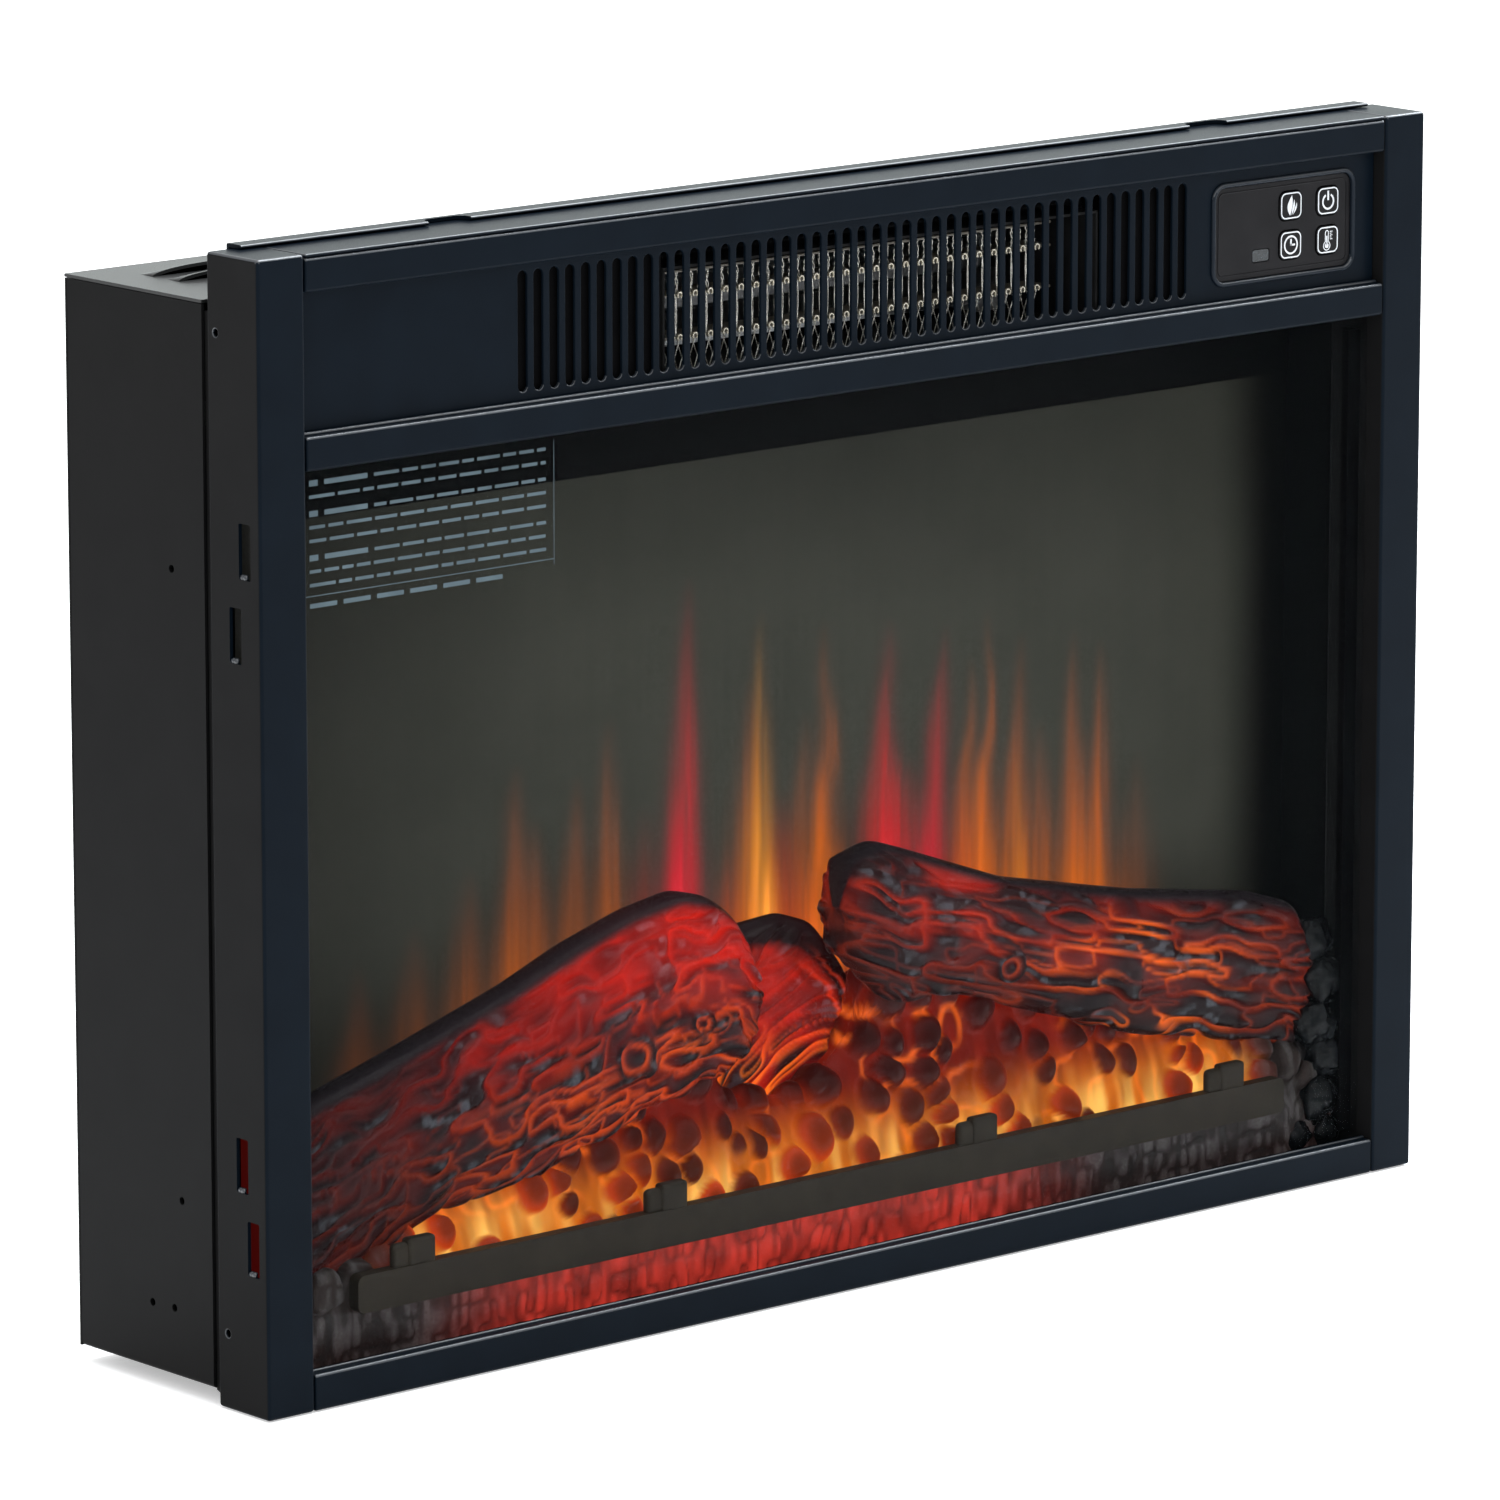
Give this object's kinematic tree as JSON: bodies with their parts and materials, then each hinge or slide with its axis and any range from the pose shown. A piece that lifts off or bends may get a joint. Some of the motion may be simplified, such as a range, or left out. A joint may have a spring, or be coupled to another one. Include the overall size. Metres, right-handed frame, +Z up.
{
  "type": "electric fireplace insert",
  "caption": "Electric fireplace insert with slotted warm-air grille, touch keys, glass front, glowing log set, flame screen, fan heater and shallow louvred steel case.",
  "frame": {"origin": "centre of the bounding box's base, on the surface that the insert stands on", "axes": "+X to the right seen from the front, +Y from the front to the back, +Z up"},
  "size_m": [0.585, 0.121, 0.4297],
  "materials": {
    "frame_paint": "satin powder coat",
    "frame_plastic": "satin",
    "case_paint": "satin powder coat",
    "chamber_paint": "matt heat-proof paint",
    "overlay": "gloss",
    "keys": "gloss with printed outline",
    "infrared": "gloss",
    "circuit_board": "satin",
    "glass": "clear",
    "flame_screen": "smoked satin",
    "log_resin": "matt, lit from inside",
    "ember_resin": "matt, lit from inside",
    "grate_iron": "matt",
    "rotor_foil": "polished",
    "bare_steel": "mill finish",
    "black_plastic": "satin",
    "mica": "matt",
    "heating_ribbon": "oxidised",
    "aluminium": "mill finish",
    "copper_wire": "varnished",
    "rubber": "matt"
  },
  "bodies": {
    "insert": {"frame_stile_left": "frame_paint", "frame_stile_right": "frame_paint", "frame_rail_top": "frame_paint", "frame_rail_middle": "frame_paint", "frame_rail_bottom": "frame_paint", "frame_top_plate": "frame_paint", "top_trim_strip": "frame_paint", "grille_panel": "frame_paint", "control_bezel": "frame_plastic", "mounting_plate": "case_paint", "case_shell": "case_paint", "case_top": "case_paint", "back_panel": "case_paint", "grille_backing": "chamber_paint", "glass_retainer_left": "chamber_paint", "glass_retainer_right": "chamber_paint", "liner_left": "chamber_paint", "liner_right": "chamber_paint", "firebox_floor": "chamber_paint", "firebox_soffit": "chamber_paint", "screen_bracket": "chamber_paint", "flame_mask": "chamber_paint", "control_overlay": "overlay", "display_module": "overlay", "infrared_window": "infrared", "control_board": "circuit_board", "main_board": "circuit_board", "log_light_board": "circuit_board", "flame_light_board": "circuit_board", "glass_pane": "glass", "flame_screen": "flame_screen", "log_left": "log_resin", "log_middle": "log_resin", "log_right": "log_resin", "ember_bed": "ember_resin", "grate_bar": "grate_iron", "rotor_motor": "bare_steel", "rotor_bearing": "black_plastic", "heater_duct": "bare_steel", "mica_board_top": "mica", "mica_board_middle": "mica", "mica_board_bottom": "mica", "heating_ribbon_upper": "heating_ribbon", "heating_ribbon_lower": "heating_ribbon", "blower_housing": "bare_steel", "motor_core": "bare_steel", "motor_coil": "copper_wire", "thermal_cutout": "black_plastic", "temperature_probe": "bare_steel", "cord_gland": "rubber", "rear_foot_left": "rubber", "rear_foot_right": "rubber"},
    "flame_key": {"key_flame": "keys"},
    "power_key": {"key_power": "keys"},
    "timer_key": {"key_timer": "keys"},
    "temperature_key": {"key_temperature": "keys"},
    "blower": {"blower_wheel": "aluminium", "blower_shaft": "bare_steel", "motor_rotor": "aluminium"},
    "spindle": {"flame_rotor": "rotor_foil"}
  },
  "joints": [
    {"name": "flame_key_press", "type": "slide", "parent": "insert", "child": "flame_key", "axis": [0, 1, 0], "range_m": [0, 0.0005], "stiffness_N_per_m": 1200, "springref_m": -0.0005},
    {"name": "power_key_press", "type": "slide", "parent": "insert", "child": "power_key", "axis": [0, 1, 0], "range_m": [0, 0.0005], "stiffness_N_per_m": 1200, "springref_m": -0.0005},
    {"name": "timer_key_press", "type": "slide", "parent": "insert", "child": "timer_key", "axis": [0, 1, 0], "range_m": [0, 0.0005], "stiffness_N_per_m": 1200, "springref_m": -0.0005},
    {"name": "temperature_key_press", "type": "slide", "parent": "insert", "child": "temperature_key", "axis": [0, 1, 0], "range_m": [0, 0.0005], "stiffness_N_per_m": 1200, "springref_m": -0.0005},
    {"name": "blower_spin", "type": "hinge", "parent": "insert", "child": "blower", "pos_m": [0, 0.0255, 0.382], "axis": [1, 0, 0], "continuous": true},
    {"name": "spindle_spin", "type": "hinge", "parent": "insert", "child": "spindle", "pos_m": [0, 0.0275, 0.062], "axis": [1, 0, 0], "continuous": true}
  ]
}
